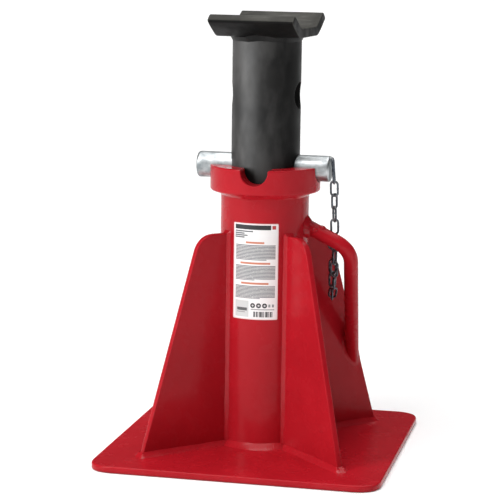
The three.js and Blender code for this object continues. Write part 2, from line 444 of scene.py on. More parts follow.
# ---------------- materials
def red_enamel(name, coat):
    """Thick glossy enamel, sprayed over the welded base: slightly rippled, with painted shade in its
    corners and its edges painted lighter, partly as thin paint and partly as a painted highlight.
    """
    s = Shader(name)
    tone = s.noise(14, 3)
    mottle = s.noise(95, 2)
    colour = s.mix(s.between(tone, 0.35, 0.65), (0.385, 0.0085, 0.0155), (0.43, 0.0105, 0.0185))
    colour = s.mix(s.times(s.between(mottle, 0.45, 0.7), 0.12), colour, (0.36, 0.006, 0.011))
    # Rounded edges are painted lighter: partly paint thinning over them, partly a painted highlight.
    thin = s.times(s.attribute("edge"), 0.18)
    colour = s.mix(thin, colour, (0.5, 0.02, 0.03))
    # Painted shade: corners and crevices, found by ambient occlusion, are painted darker.
    corner = s.between(s.crevice(9 * MM), 0.15, 0.75)
    colour = s.mix(corner, (0.23, 0.003, 0.006), colour)
    peel = s.noise(520, 1.5)
    sag = s.noise(9, 2, where=s.stretched((6, 6, 2.2)))
    rough = s.drift(60, 3, 0.2, 0.3)
    normal = s.bump(peel, 0.16 * MM, 0.35, s.bump(sag, 0.5 * MM, 0.4))
    return s.finished(colour, rough, normal, Coat_Normal=normal, Coat_Weight=coat,
                      Coat_Roughness=0.05, Specular_IOR_Level=0.07)


def black_finish(name, dark, light, gloss):
    """Satin black over steel, very slightly uneven, rubbed thin along its edges."""
    s = Shader(name)
    tone = s.noise(26, 4)
    colour = s.mix(s.between(tone, 0.3, 0.7), dark, light)
    dust = s.noise(55, 4, where=s.stretched((1, 1, 0.45)))
    colour = s.mix(s.times(s.between(dust, 0.45, 0.7), 0.55), colour, (0.024, 0.0235, 0.023))
    rubbed = s.times(s.attribute("edge"), s.between(s.noise(210, 3), 0.35, 0.6, 0.2, 0.8))
    colour = s.mix(s.times(rubbed, 0.35), colour, (0.13, 0.125, 0.115))
    rough = s.drift(70, 4, gloss - 0.04, gloss + 0.06)
    grain = s.noise(900, 2)
    normal = s.bump(grain, 0.05 * MM, 0.5, s.bump(dust, 0.2 * MM, 0.3))
    return s.finished(colour, rough, normal, Specular_IOR_Level=0.1)


def saddle_finish():
    """Charcoal plate with painted light: lighter on faces turned up and painted near black as shade on
    faces turned down, with the dull scuffs that loads leave on its upper faces.
    """
    s = Shader("black_saddle")
    # Painted light: faces turned up take a lighter colour and faces turned down a near-black one,
    # standing for overhead light and the shade underneath.
    facing = s.node("SeparateXYZ", {"Vector": s.node("NewGeometry", {}, output="Normal")}, output="Z")
    upward = s.between(facing, 0.1, 0.6)
    tone = s.drift(30, 4)
    lit_top_colour = s.mix(tone, (0.045, 0.0435, 0.0385), (0.074, 0.0715, 0.0635))
    shaded_underside_colour = s.mix(tone, (0.003, 0.003, 0.003), (0.007, 0.0065, 0.006))
    colour = s.mix(upward, shaded_underside_colour, lit_top_colour)
    scuff = s.between(s.noise(130, 5, where=s.stretched((0.5, 2.2, 1))), 0.52, 0.68)
    scuffed = s.times(s.times(scuff, upward), 0.25)
    colour = s.mix(scuffed, colour, (0.17, 0.165, 0.15))
    colour = s.mix(s.times(s.attribute("edge"), 0.3), colour, (0.12, 0.118, 0.108))
    rough = s.drift(85, 4, 0.42, 0.6)
    scale = s.noise(240, 4)
    normal = s.bump(scale, 0.18 * MM, 0.5, s.bump(s.noise(35, 2), 0.6 * MM, 0.4))
    return s.finished(colour, rough, normal, Specular_IOR_Level=0.08)


def zinc_plate():
    """Bright zinc on a turned bar: mottled spangle, fine turning lines and a few long scratches."""
    s = Shader("zinc_pin")
    cell = s.node("TexVoronoi", {"Vector": s.place(), "Scale": 260}, output="Color")
    spangle = s.node("SeparateColor", {"Color": cell}, output="Red")
    cloud = s.noise(75, 5)
    colour = s.mix(s.between(cloud, 0.32, 0.66), (0.21, 0.235, 0.245), (0.62, 0.64, 0.645))
    colour = s.mix(s.times(spangle, 0.28), colour, (0.5, 0.53, 0.55))
    worn = s.noise(20, 5, where=s.stretched((1.2, 22, 22)))
    colour = s.mix(s.between(worn, 0.6, 0.72, 0, 0.6), colour, (0.24, 0.25, 0.25))
    turning = s.noise(1, 2, where=s.stretched((2600, 20, 20)))
    rough = s.between(cloud, 0.3, 0.7, 0.48, 0.36)
    normal = s.bump(turning, 0.03 * MM, 0.4, s.bump(s.noise(160, 4), 0.25 * MM, 0.6))
    return s.finished(colour, rough, normal, Metallic=1.0)


def chain_zinc():
    """Dull dark zinc on bent wire, brighter where the links rub."""
    s = Shader("chain_steel")
    tone = s.noise(330, 4)
    colour = s.mix(s.between(tone, 0.3, 0.7), (0.035, 0.042, 0.055), (0.13, 0.145, 0.165))
    colour = s.mix(s.times(s.attribute("edge"), 0.5), colour, (0.4, 0.41, 0.42))
    rough = s.drift(500, 3, 0.22, 0.42)
    normal = s.bump(s.noise(900, 2), 0.05 * MM, 0.6)
    return s.finished(colour, rough, normal, Metallic=0.9)


class Print:
    """The printed face of the label: boxes of ink placed by u across and t down, both 0 to 1."""

    INK = (0.012, 0.013, 0.016)
    GREY = (0.13, 0.14, 0.15)
    ORANGE = (0.56, 0.13, 0.035)
    RED = (0.45, 0.03, 0.03)

    def __init__(self, shader):
        self.s = shader
        at = shader.attribute("print_at", output="Vector")
        self.u = shader.node("SeparateXYZ", {"Vector": at}, output="X")
        self.t = shader.node("SeparateXYZ", {"Vector": at}, output="Y")
        self.colour = (0.86, 0.85, 0.845)

    def within(self, value, low, high):
        return self.s.math("COMPARE", value, (low + high) / 2, (high - low) / 2)

    def box(self, u0, u1, t0, t1):
        return self.s.times(self.within(self.u, u0, u1), self.within(self.t, t0, t1))

    def ink(self, mask, colour, amount=1.0):
        self.colour = self.s.mix(self.s.times(mask, amount), self.colour, colour)

    def small_print(self, u0, u1, t0, t1, rows, last_row_ends):
        """Rows of fine grey marks of uneven length, standing for text, with no letters."""
        s = self.s
        pitch = (t1 - t0) / rows
        inside = self.s.math("FRACT", s.math("DIVIDE", s.math("SUBTRACT", self.t, t0), pitch))
        row_mask = s.math("LESS_THAN", inside, 0.7)
        row = s.math("FLOOR", s.math("DIVIDE", s.math("SUBTRACT", self.t, t0), pitch))
        where = s.node("CombineXYZ", {"X": s.times(self.u, 85), "Y": s.times(row, 7.3)})
        marks = s.node("TexNoise", {"Vector": where, "Scale": 1.0, "Detail": 1.0}, output="Fac")
        filled = s.math("GREATER_THAN", marks, 0.3)
        mask = s.times(s.times(row_mask, filled), self.box(u0, u1, t0, t1 - pitch))
        self.ink(mask, self.GREY, 0.95)
        last = s.times(filled, self.box(u0, last_row_ends, t1 - pitch, t1 - 0.4 * pitch))
        self.ink(last, self.GREY, 0.95)

    def dot(self, u, t, radius, aspect):
        s = self.s
        sideways = s.math("SUBTRACT", self.u, u)
        down = s.times(s.math("SUBTRACT", self.t, t), aspect)
        squared = s.math("ADD", s.times(sideways, sideways), s.times(down, down))
        self.ink(s.math("LESS_THAN", squared, radius * radius), self.INK)
        self.ink(s.math("LESS_THAN", squared, (radius * 0.42) ** 2), (0.6, 0.6, 0.6))

    def bars(self, u0, u1, t0, t1, count):
        """A block of upright bars of uneven width."""
        s = self.s
        where = s.node("CombineXYZ", {"X": s.times(self.u, count / (u1 - u0))})
        bands = s.node("TexNoise", {"Vector": where, "Scale": 1.0, "Detail": 0.0}, output="Fac")
        mask = s.times(s.math("GREATER_THAN", bands, 0.46), self.box(u0, u1, t0, t1))
        self.ink(mask, self.INK, 0.9)


def printed_vinyl(aspect):
    """White vinyl with a generic print: a header bar, three headed blocks of marks, dots and bars."""
    s = Shader("printed_label")
    p = Print(s)
    p.ink(p.box(0.045, 0.84, 0.016, 0.064), p.INK)
    p.ink(p.box(0.865, 0.945, 0.02, 0.058), p.RED)
    for right, top in ((0.46, 0.076), (0.27, 0.098), (0.34, 0.118), (0.27, 0.138)):
        p.ink(p.box(0.045, right, top, top + 0.014), p.GREY)
    for left, right, top in ((0.3, 0.7, 0.188), (0.18, 0.83, 0.402), (0.2, 0.8, 0.612)):
        p.ink(p.box(left, right, top, top + 0.02), p.ORANGE, 0.9)
    p.small_print(0.065, 0.94, 0.222, 0.385, 11, 0.75)
    p.small_print(0.065, 0.94, 0.437, 0.595, 11, 0.5)
    p.small_print(0.065, 0.94, 0.647, 0.785, 10, 0.62)
    p.ink(p.box(0.065, 0.38, 0.805, 0.975), (0.5, 0.53, 0.52), 0.7)
    p.ink(p.box(0.11, 0.345, 0.878, 0.91), p.INK, 0.85)
    p.ink(p.box(0.11, 0.3, 0.92, 0.93), p.GREY, 0.6)
    for u in (0.47, 0.597, 0.724):
        p.dot(u, 0.852, 0.052, aspect)
    for u in (0.825, 0.9):
        p.ink(p.box(u - 0.022, u + 0.022, 0.838, 0.868), p.GREY, 0.8)
    p.ink(p.box(0.43, 0.93, 0.888, 0.898), p.GREY, 0.75)
    p.bars(0.48, 0.9, 0.915, 0.972, 17)
    border = s.times(s.math("COMPARE", p.u, 0.5, 0.478), s.math("COMPARE", p.t, 0.5, 0.489))
    colour = s.mix(border, (0.84, 0.66, 0.66), p.colour)
    normal = s.bump(s.noise(260, 2), 0.05 * MM, 0.4, s.bump(s.noise(45, 2), 0.3 * MM, 0.4))
    return s.finished(colour, s.drift(150, 3, 0.3, 0.42), normal, Coat_Weight=0.3,
                      Coat_Roughness=0.15, Specular_IOR_Level=0.35)


FLOOR_HALF = 60
FLOOR_GLOW = 0.16                    # a light table, so that shadows stay faint
HORIZON_GLOW = 0.5
SKY_GLOW = 0.04
BAND_FULL = 0.03                     # heights, as sines, between which the horizon's band fades out
BAND_GONE = 0.2


def floor_finish():
    s = Shader("studio_floor")
    colour = s.mix(s.between(s.noise(1.5, 3), 0.3, 0.7), (0.9, 0.9, 0.9), (0.92, 0.92, 0.92))
    s.set(Base_Color=colour, Roughness=0.9, Specular_IOR_Level=0.1)
    s.set(Emission_Color=(1, 1, 1), Emission_Strength=FLOOR_GLOW)
    return s.material


# ---------------- base plate and gussets
def base_plate(material):
    h = BASE_HALF
    c = BASE_CORNER
    outline = rounded_corners([(-h, -h, c), (h, -h, c), (h, h, c), (-h, h, c)], 12)
    work = slab(outline, 0.0, BASE_TOP, BASE_EDGE, lambda x, y, z: Vector((x, y, z)), steps=5)
    return work.finish("base_plate_look", material)


def gusset_edge(z):
    """Distance of a gusset's sloped outer edge from the sleeve's axis."""
    return GUSSET_REACH - GUSSET_SLOPE * z


def gusset(name, degrees, material):
    inner = SLEEVE_R - 0.4 * MM
    bottom = BASE_TOP - SUNK
    outline = rounded_corners([
        (inner, bottom, 0),
        (gusset_edge(bottom), bottom, 0),
        (gusset_edge(GUSSET_TOP), GUSSET_TOP, GUSSET_TOP_SETBACK),
        (inner, GUSSET_TOP, 0),
    ], 14)
    turn = Matrix.Rotation(radians(degrees), 3, "Z")
    half = GUSSET_HALF
    work = slab(outline, -half, half, 1.0 * MM, lambda x, y, w: turn @ Vector((x, -w, y)), steps=4)
    return work.finish(name + "_look", material)


# ---------------- sleeve and collar
COLLAR_EDGE = 1.0 * MM
COLLAR_LOW_ROUND = 2.2 * MM
NOTCH_R = 13 * MM
NOTCH_LIP = 1.6 * MM
NOTCH_CENTRE_Z = COLLAR_TOP - 1.8 * MM


def sleeve(material):
    low = BASE_TOP - SUNK
    high = COLLAR_BOTTOM + SUNK
    profile = [(SLEEVE_BORE_R, low, 0), (SLEEVE_R, low, 0), (SLEEVE_R, high, 0), (SLEEVE_BORE_R, high, 0)]
    return turned(profile, 180, hollow=True).finish("sleeve_look", material)


@dataclass
class Column:
    """One upright slice through a ring: at a fixed distance w from the middle plane of a cut, or
    beyond the cut, turned part of the way towards the next cut."""

    w: float
    far: float = 0.0
    limit: float = 0.0
    z: float = 0.0
    normal: tuple = (0.0, 1.0)

    def at(self, radius, z, w=None):
        w = self.w if w is None else w
        angle = asin(max(-1.0, min(1.0, w / radius)))
        angle += self.far * (copysign(self.limit, self.w) - angle)
        return Vector((radius * cos(angle), radius * sin(angle), z))


def collar_columns():
    """Half a quarter turn of the collar, from the middle of a pin seat to half way to the next."""
    columns = []
    for a in np.linspace(0, pi / 2, 15):
        columns.append(Column(NOTCH_R * sin(a), z=NOTCH_CENTRE_Z - NOTCH_R * cos(a),
                              normal=(-sin(a), cos(a))))
    lip_w = NOTCH_R + NOTCH_LIP
    lip_z = COLLAR_TOP - NOTCH_LIP
    for a in np.linspace(0, pi / 2, 7):
        columns.append(Column(lip_w - NOTCH_LIP * cos(a), z=lip_z + NOTCH_LIP * sin(a),
                              normal=(-cos(a), sin(a))))
    for far in np.linspace(0, 1, 9)[1:]:
        columns.append(Column(lip_w, far=far, limit=pi / 4, z=COLLAR_TOP))
    return columns


def mirrored(columns):
    """The same slices on both sides of the middle plane, in order round the ring."""
    other = [Column(-c.w, c.far, c.limit, c.z, (-c.normal[0], c.normal[1])) for c in columns[1:-1]]
    return other[::-1] + columns


def collar_slice(column):
    """The collar's closed outline in one slice: up the bore, over the top and down the outside."""
    bore, outer, edge = SLEEVE_BORE_R, COLLAR_R, COLLAR_EDGE
    low = COLLAR_BOTTOM + 0.1 * MM
    rounding = round_edge(4)

    def near_top(radius, depth):
        w = column.w - depth * column.normal[0]
        return column.at(radius, column.z - depth * column.normal[1], w)

    points = [column.at(bore, low), column.at(bore, low + 5 * MM), near_top(bore, 1.3 * edge)]
    points += [near_top(bore + edge * d, edge * h) for d, h in reversed(rounding)]
    points += [near_top(bore + f * (outer - bore), 0) for f in (0.15, 0.5, 0.85)]
    points += [near_top(outer - edge * d, edge * h) for d, h in rounding]
    points += [near_top(outer, 1.3 * edge), column.at(outer, low + 5 * MM),
               column.at(outer, low + COLLAR_LOW_ROUND + 0.5 * MM)]
    points += [column.at(outer - COLLAR_LOW_ROUND * d, low + COLLAR_LOW_ROUND * h)
               for d, h in reversed(rounding)]
    points.append(column.at(outer - 5 * MM, low))
    return points


def collar(material):
    # Marks for the collar's top edges, which the enamel paints lighter: partly thin paint, partly a
    # painted highlight.
    worn = [0, 0.6, 1, 0.6, 0]
    marks = [0] * 3 + worn + [0] * 3 + worn + [0] * 9
    slices = []
    for quarter in range(4):
        turn = Matrix.Rotation(quarter * pi / 2, 3, "Z")
        slices += [[turn @ p for p in collar_slice(c)] for c in mirrored(collar_columns())]
    rows = [list(row) for row in zip(*slices)]
    return Patchwork().tube(rows, ring=True, edge=marks).finish("collar_look", material, sharp=50)


# ---------------- carrying handle
HANDLE_R = 7 * MM
HANDLE_WELD = Vector((40, -2.1, 220.6)) * MM
HANDLE_CORNER = Vector((85.7, -4.5, 199.3)) * MM
HANDLE_FOOT = Vector((76, 71.7, 84)) * MM
HANDLE_BEND = 17 * MM
HANDLE_SIDES = 32
REAR_GUSSET_FACE = Vector((1, -1, 0)).normalized()


def handle_path():
    leg = (HANDLE_CORNER - HANDLE_WELD).normalized()
    grip = (HANDLE_FOOT - HANDLE_CORNER).normalized()
    start = HANDLE_CORNER - leg * HANDLE_BEND
    end = HANDLE_CORNER + grip * HANDLE_BEND
    path = [HANDLE_WELD - leg * 1.5 * MM, HANDLE_WELD.lerp(start, 0.5)]
    path += [bend(start, HANDLE_CORNER, end, t) for t in np.linspace(0, 1, 25)]
    path += [end.lerp(HANDLE_FOOT, f) for f in (0.33, 0.66, 0.9)]
    return path


def to_plane(point, direction, depth):
    """Where a line meets a plane that lies this far in front of the rear right gusset's middle."""
    reach = (depth - point.dot(REAR_GUSSET_FACE)) / direction.dot(REAR_GUSSET_FACE)
    return point + direction * reach


def handle(material):
    path = handle_path()
    rings = [ring_round(centre, side, other, HANDLE_R, HANDLE_SIDES)
             for centre, (side, other) in zip(path, frames_along(path))]
    grip = (HANDLE_FOOT - HANDLE_CORNER).normalized()
    rings[-1] = [to_plane(p, grip, GUSSET_HALF + 4 * MM) for p in rings[-2]]
    rings.append([to_plane(p, grip, GUSSET_HALF - 1 * MM) for p in rings[-1]])
    return Patchwork().tube(rings).finish("carry_handle_look", material, sharp=60)


# ---------------- welds on the base
def plate_ring_welds():
    """Sleeve to base plate, one bead in each space between gussets."""
    for quarter in range(4):
        middle = quarter * pi / 2
        keys = []
        for a in np.linspace(middle - pi / 4, middle + pi / 4, 120):
            out = outwards(a)
            keys.append((out * SLEEVE_R + UP * BASE_TOP, out, UP.copy()))
        yield f"weld_sleeve_foot_{quarter + 1}", bead(keys, (6.0 * MM, 5.4 * MM))


def round_gusset(first, last, side, near, end, far):
    """Keys of a bead along one face of a gusset, round its end and back along the other face. near,
    end and far are the two directions that the bead's toes lie along on each."""
    here, there = side * GUSSET_HALF, -side * GUSSET_HALF
    return run([(first + here, *near), (last + here, *near), (last + here, *end),
                (last + there, *end), (last + there, *far), (first + there, *far)])


def gusset_foot_weld(out, side):
    """Gusset to base plate: along one face, round the outer end and back along the other."""
    first = out * (SLEEVE_R - 1 * MM) + UP * BASE_TOP
    last = out * (gusset_edge(BASE_TOP) - 0.2 * MM) + UP * BASE_TOP
    lean = (UP - out * GUSSET_SLOPE).normalized()
    keys = round_gusset(first, last, side, (side, UP), (out, lean), (-side, UP))
    return bead(keys, (4.6 * MM, 4.4 * MM))


def gusset_side_weld(out, side):
    """Gusset to sleeve: up one face, over the top and down the other."""
    wall = out * sqrt(SLEEVE_R ** 2 - GUSSET_HALF ** 2)
    first = wall + UP * (BASE_TOP - 0.5 * MM)
    last = wall + UP * (GUSSET_TOP - 0.2 * MM)
    tilt = GUSSET_HALF / SLEEVE_R
    left = (side - out * tilt).normalized()
    right = (-side - out * tilt).normalized()
    keys = round_gusset(first, last, side, (left, out), (UP, out), (right, out))
    return bead(keys, (2.8 * MM, 2.6 * MM), fullness=0.34)


def collar_weld():
    """The bead under the collar, all the way round the sleeve."""
    stations = []
    for a in full_turn(420):
        out = outwards(a)
        stations.append((out * SLEEVE_R + UP * COLLAR_BOTTOM, -UP, out))
    return bead(stations, (4.2 * MM, 4.6 * MM), closed=True, fullness=0.33)


def handle_top_weld():
    """Round the handle's short leg where it meets the sleeve."""
    leg = (HANDLE_CORNER - HANDLE_WELD).normalized()
    stations = []
    for round_bar in ring_round(Vector(), *across(leg), 1, 110):
        start = HANDLE_WELD + round_bar * HANDLE_R
        flat = Vector((leg.x, leg.y))
        here = Vector((start.x, start.y))
        b = here.dot(flat)
        reach = (-b + sqrt(b * b - flat.dot(flat) * (here.dot(here) - SLEEVE_R ** 2))) / flat.dot(flat)
        root = start + leg * reach
        outward = Vector((root.x, root.y, 0)).normalized()
        along_sleeve = (round_bar - outward * round_bar.dot(outward)).normalized()
        stations.append((root, along_sleeve, leg))
    return bead(stations, (3.4 * MM, 4.6 * MM), closed=True, fullness=0.5)


def inside_gusset_edge(point):
    """Keeps a point of the handle's foot weld from passing the gusset's outer edge."""
    out = Vector((1, 1, 0)).normalized()
    past = point.dot(out) - (gusset_edge(point.z) - 0.4 * MM)
    return point - out * max(0.0, past)


def handle_foot_weld():
    """Round the long leg where it meets the rear right gusset."""
    grip = (HANDLE_FOOT - HANDLE_CORNER).normalized()
    stations = []
    for round_bar in ring_round(Vector(), *across(grip), 1, 130):
        root = to_plane(HANDLE_FOOT + round_bar * HANDLE_R, grip, GUSSET_HALF)
        along_face = (round_bar - REAR_GUSSET_FACE * round_bar.dot(REAR_GUSSET_FACE)).normalized()
        away = (-grip - round_bar * 0.08).normalized()
        stations.append((root, along_face, away))
    return bead(stations, (2.6 * MM, 3.4 * MM), closed=True, fullness=0.36, fit=inside_gusset_edge)


def base_beads():
    """Every weld bead of the base, with its name."""
    yield from plate_ring_welds()
    for name, degrees in GUSSET_TURNS.items():
        out = outwards(radians(degrees))
        side = UP.cross(out)
        place = name.replace("gusset_", "")
        yield f"weld_{place}_foot", gusset_foot_weld(out, side)
        yield f"weld_{place}_side", gusset_side_weld(out, side)
    yield "weld_collar", collar_weld()
    yield "weld_handle_top", handle_top_weld()
    yield "weld_handle_foot", handle_foot_weld()


def base_welds(material):
    for name, work in base_beads():
        settle(work.finish(name, material, sharp=WELD_SHARP), "base", "red_enamel")


# ---------------- small welds
BLOB_SIDES = 28
TACK_SINK = 0.5 * MM                 # how far a tack's rim lies under the surface
EYE_TACK_SINK = 0.6 * MM
HANDLE_LEG_SLOPE = 0.466


def blob(name, centre, outward, radius, height, material):
    """A small weld: a low dome with an uneven rim, closed underneath."""
    first, second = across(outward)
    rings = []
    for f in np.linspace(0, 1, 7):
        angle = f * pi / 2
        ring = []
        for a in full_turn(BLOB_SIDES):
            wobble = 1 + 0.07 * sin(3 * a + 1) + 0.05 * sin(7 * a)
            reach = radius * cos(angle * 0.97) * wobble
            ring.append(centre + (first * cos(a) + second * sin(a)) * reach
                        + outward * height * sin(angle))
        rings.append(ring)
    return Patchwork().tube(rings).finish(name, material, sharp=80)


def handle_tacks(red):
    """Two short runs that the welder left on the handle's short leg. Each lies at a distance from
    the sleeve, leaning round the bar from its top by an angle in radians."""
    leg = (HANDLE_CORNER - HANDLE_WELD).normalized()
    level = leg.cross(UP).normalized()
    upward = level.cross(leg).normalized()
    to_sleeve = (SLEEVE_R - HANDLE_WELD.x) / leg.x
    spots = (("tack_handle_top", 14 * MM, 0.25, 3.6 * MM), ("tack_handle_front", 9 * MM, 1.2, 2.8 * MM))
    for name, distance, lean, size in spots:
        out = (upward * cos(lean) + level * sin(lean)).normalized()
        centre = HANDLE_WELD + leg * (to_sleeve + distance) + out * (HANDLE_R - TACK_SINK)
        settle(blob(name, centre, out, size, 1.5 * MM, red), "base", "red_enamel")


def chain_tacks(red, grey):
    """The tacks that hold the chain's two ends."""
    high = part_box("pin_loop")[1]
    spot = Vector((PIN_RIGHT - 0.4 * MM, 0, high.z - 2.2 * MM))
    settle(blob("tack_pin_loop", spot, Vector((1, 0, 0)), 3 * MM, 1.9 * MM, grey), "pin", "zinc_pin")
    low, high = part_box("chain_eye")
    eye = Vector(((low.x + high.x) / 2, low.y + 0.6 * MM, high.z - 1.6 * MM))
    bar_z = HANDLE_WELD.z - (eye.x - HANDLE_WELD.x) * HANDLE_LEG_SLOPE
    bar = Vector((eye.x, HANDLE_WELD.y, bar_z))
    away = (eye - bar).normalized()
    spot = bar + away * (HANDLE_R - EYE_TACK_SINK)
    settle(blob("tack_chain_eye", spot, away, 3.2 * MM, 2.2 * MM, red), "base", "red_enamel")


# ---------------- label
LABEL_ARC = radians(60.8)
LABEL_CORNER = 1.2 * MM
LABEL_THICK = 0.22 * MM


def label_sheet(radius, columns, width, height):
    """Rows of points on the sleeve's front, at a radius, with the sheet's corners rounded off."""
    rows = []
    for f in np.linspace(0, 1, 5):
        row = []
        for x in columns:
            gap = LABEL_CORNER - min(x, width - x, LABEL_CORNER)
            cut = LABEL_CORNER - sqrt(LABEL_CORNER ** 2 - gap ** 2)
            z = LABEL_LOW + cut + f * (height - 2 * cut)
            a = -pi / 2 + (x / width - 0.5) * LABEL_ARC
            row.append(Vector((radius * cos(a), radius * sin(a), z)))
        rows.append(row)
    return rows


def border(rows):
    """The outermost points of a sheet, in order."""
    left = [row[0] for row in rows]
    right = [row[-1] for row in rows]
    return rows[0] + right[1:] + rows[-1][-2::-1] + left[-2:0:-1]


def label(make_material):
    """A thin sheet wrapped round the front of the sleeve, with small rounded corners. Its points
    carry print_at: how far across and down the sheet they are, from 0 to 1."""
    width = LABEL_ARC * SLEEVE_R
    height = LABEL_HIGH - LABEL_LOW
    near_edge = [0, 0.1, 0.3, 0.6, 1.0, 1.2]
    columns = [x * MM for x in near_edge] + list(np.linspace(2 * MM, width - 2 * MM, 38))
    columns += [width - x * MM for x in reversed(near_edge)]
    front, back = (label_sheet(SLEEVE_R + gap, columns, width, height)
                   for gap in (LABEL_THICK, 0.02 * MM))
    work = Patchwork()
    work.grid(front)
    work.grid(back)
    work.grid([border(front), border(back)], close_columns=True)
    piece = work.finish("label_look", make_material(height / width))
    at = piece.data.attributes.new("print_at", "FLOAT_VECTOR", "POINT")
    values = []
    for v in piece.data.vertices:
        angle = atan2(v.co.y, v.co.x) + pi / 2
        values += [angle / LABEL_ARC + 0.5, (LABEL_HIGH - v.co.z) / height, 0.0]
    at.data.foreach_set("vector", values)
    return piece


# ---------------- ram and saddle
RAM_BORE_R = 27 * MM
HOLE_R = 13.3 * MM
HOLE_PITCH = 70 * MM
HOLE_FIRST_Z = PIN_Z - 0.5 * MM
HOLE_EDGE = 0.8 * MM
PATCH = 20 * MM
PATCH_CELLS = 16


def ram_columns():
    """Slices of half the ram, centred on a pin hole."""
    columns = [Column(w) for w in np.linspace(0, PATCH, PATCH_CELLS // 2 + 1)]
    columns += [Column(PATCH, far=far, limit=pi / 2) for far in np.linspace(0, 1, 17)[1:]]
    return mirrored(columns)


def hole_patch(work, turn, centre_z):
    """The square of wall round one pin hole, outside, through the hole and inside."""
    steps = [-PATCH + 2 * PATCH * k / PATCH_CELLS for k in range(PATCH_CELLS + 1)]
    square = [(x, -PATCH) for x in steps[:-1]] + [(PATCH, x) for x in steps[:-1]]
    square += [(-x, PATCH) for x in steps[:-1]] + [(-PATCH, -x) for x in steps[:-1]]

    def ring(radius, hole_radius, share):
        points = []
        for w, z in square:
            out = Vector((w, z))
            rim = out.normalized() * hole_radius
            here = rim.lerp(out, share)
            x = sqrt(radius ** 2 - here.x ** 2)
            points.append(turn @ Vector((x, here.x, centre_z + here.y)))
        return points

    rounding = round_edge(4)
    edge = HOLE_EDGE
    rows = [ring(RAM_R, HOLE_R + edge, share) for share in (1, 0.7, 0.4, 0.15, 0.04)]
    marks = [0.0] * 5
    for k, (d, h) in enumerate(rounding):
        rows.append(ring(RAM_R - edge * h, HOLE_R + edge * d, 0))
        marks.append(sin(pi * k / 4))
    for d, h in reversed(rounding):
        rows.append(ring(RAM_BORE_R + edge * h, HOLE_R + edge * d, 0))
        marks.append(0.0)
    rows += [ring(RAM_BORE_R, HOLE_R + edge, share) for share in (0.04, 0.15, 0.4, 0.7, 1)]
    marks += [0.0] * 5
    work.grid(rows, close_columns=True, edge=marks)


def ram_wall(work, columns, turn, radius, heights, centres):
    """One surface of half the ram, left open round each pin hole."""
    first = next(i for i, c in enumerate(columns) if c.far == 0 and c.w <= -PATCH + 1e-9)
    last = first + PATCH_CELLS
    rows = [[turn @ c.at(radius, z) for c in columns] for z in heights]
    for row, next_row in zip(rows, rows[1:]):
        middle = (row[0].z + next_row[0].z) / 2
        if any(abs(middle - centre) < PATCH for centre in centres):
            work.grid([row[:first + 1], next_row[:first + 1]])
            work.grid([row[last:], next_row[last:]])
        else:
            work.grid([row, next_row])


def ram_tube(material):
    """The ram with three pairs of pin holes, made as two halves, each centred on a row of holes."""
    centres = [HOLE_FIRST_Z + HOLE_PITCH * k for k in (-1, 0, 1)]
    heights = [RAM_BOTTOM + 0.2 * MM, RAM_BOTTOM + 30 * MM]
    for centre in centres:
        heights += list(np.linspace(centre - PATCH, centre + PATCH, PATCH_CELLS + 1))
    top_start = centres[-1] + PATCH
    heights += [top_start + f * (RAM_TOP - top_start) for f in (0.3, 0.65, 1)]
    columns = [Column(-PATCH, far=1.0, limit=pi / 2)] + ram_columns()
    work = Patchwork()
    for half_turn in (0, 1):
        turn = Matrix.Rotation(half_turn * pi, 3, "Z")
        for radius in (RAM_R, RAM_BORE_R):
            ram_wall(work, columns, turn, radius, heights, centres)
        for end in (0, -1):
            work.grid([[turn @ c.at(radius, heights[end]) for c in columns]
                       for radius in (RAM_R, RAM_BORE_R)])
        for centre in centres:
            hole_patch(work, turn, centre)
    return work.finish("ram_tube_look", material)


SADDLE_YAW = radians(-4.5)
SADDLE_HALF_LENGTH = 41.5 * MM
SADDLE_EDGE = 1.1 * MM
# Half of the profile, in mm: distance from the middle, height, setback of the rounding.
SADDLE_CORNERS = [(31, 400.5, 4), (46.6, 408.6, 9), (58, 416.2, 4), (49.5, 422.48, 3), (26.5, 409.7, 3)]


def saddle(material):
    half = [(y * MM, z * MM, setback * MM) for y, z, setback in SADDLE_CORNERS]
    other = [(-y, z, setback) for y, z, setback in reversed(half)]
    outline = rounded_corners(half + other, 7)
    turn = Matrix.Rotation(SADDLE_YAW, 3, "Z")
    end = SADDLE_HALF_LENGTH
    work = slab(outline, -end, end, SADDLE_EDGE, lambda y, z, x: turn @ Vector((x, y, z)), steps=5,
                support=0.2 * MM)
    piece = work.finish("saddle_look", material)
    mark_rounded_profile(piece, turn)
    return piece


def mark_rounded_profile(piece, turn):
    """Marks the lips' rounded long edges as edges too, so they show the same wear."""
    back = turn.transposed()
    corners = [Vector((s * y, z)) * MM for y, z, _ in SADDLE_CORNERS[2:4] for s in (-1, 1)]
    attribute = piece.data.attributes["edge"]
    for v in piece.data.vertices:
        local = back @ v.co
        here = Vector((local.y, local.z))
        near = min((here - corner).length for corner in corners)
        value = attribute.data[v.index].value
        attribute.data[v.index].value = max(value, 1 - min(1, near / (1.8 * MM)))


def underside(y):
    """Height of the saddle's underside at a distance across it."""
    flat_y, flat_z, _ = SADDLE_CORNERS[0]
    lip_y, lip_z, _ = SADDLE_CORNERS[1]
    past = max(0.0, abs(y) / MM - flat_y)
    return (flat_z + past * (lip_z - flat_z) / (lip_y - flat_y)) * MM


def saddle_weld():
    """The bead that joins the ram to the saddle's underside."""
    stations = []
    for a in full_turn(320):
        out = outwards(a)
        z = underside(RAM_R * out.y)
        rise = underside((RAM_R + MM) * out.y) - z
        along = (out * MM + UP * rise).normalized()
        stations.append((out * RAM_R + UP * z, -UP, along))
    return bead(stations, (4.4 * MM, 2.2 * MM), closed=True, fullness=0.4)


# ---------------- pin
PIN_ROUND = 2.3 * MM


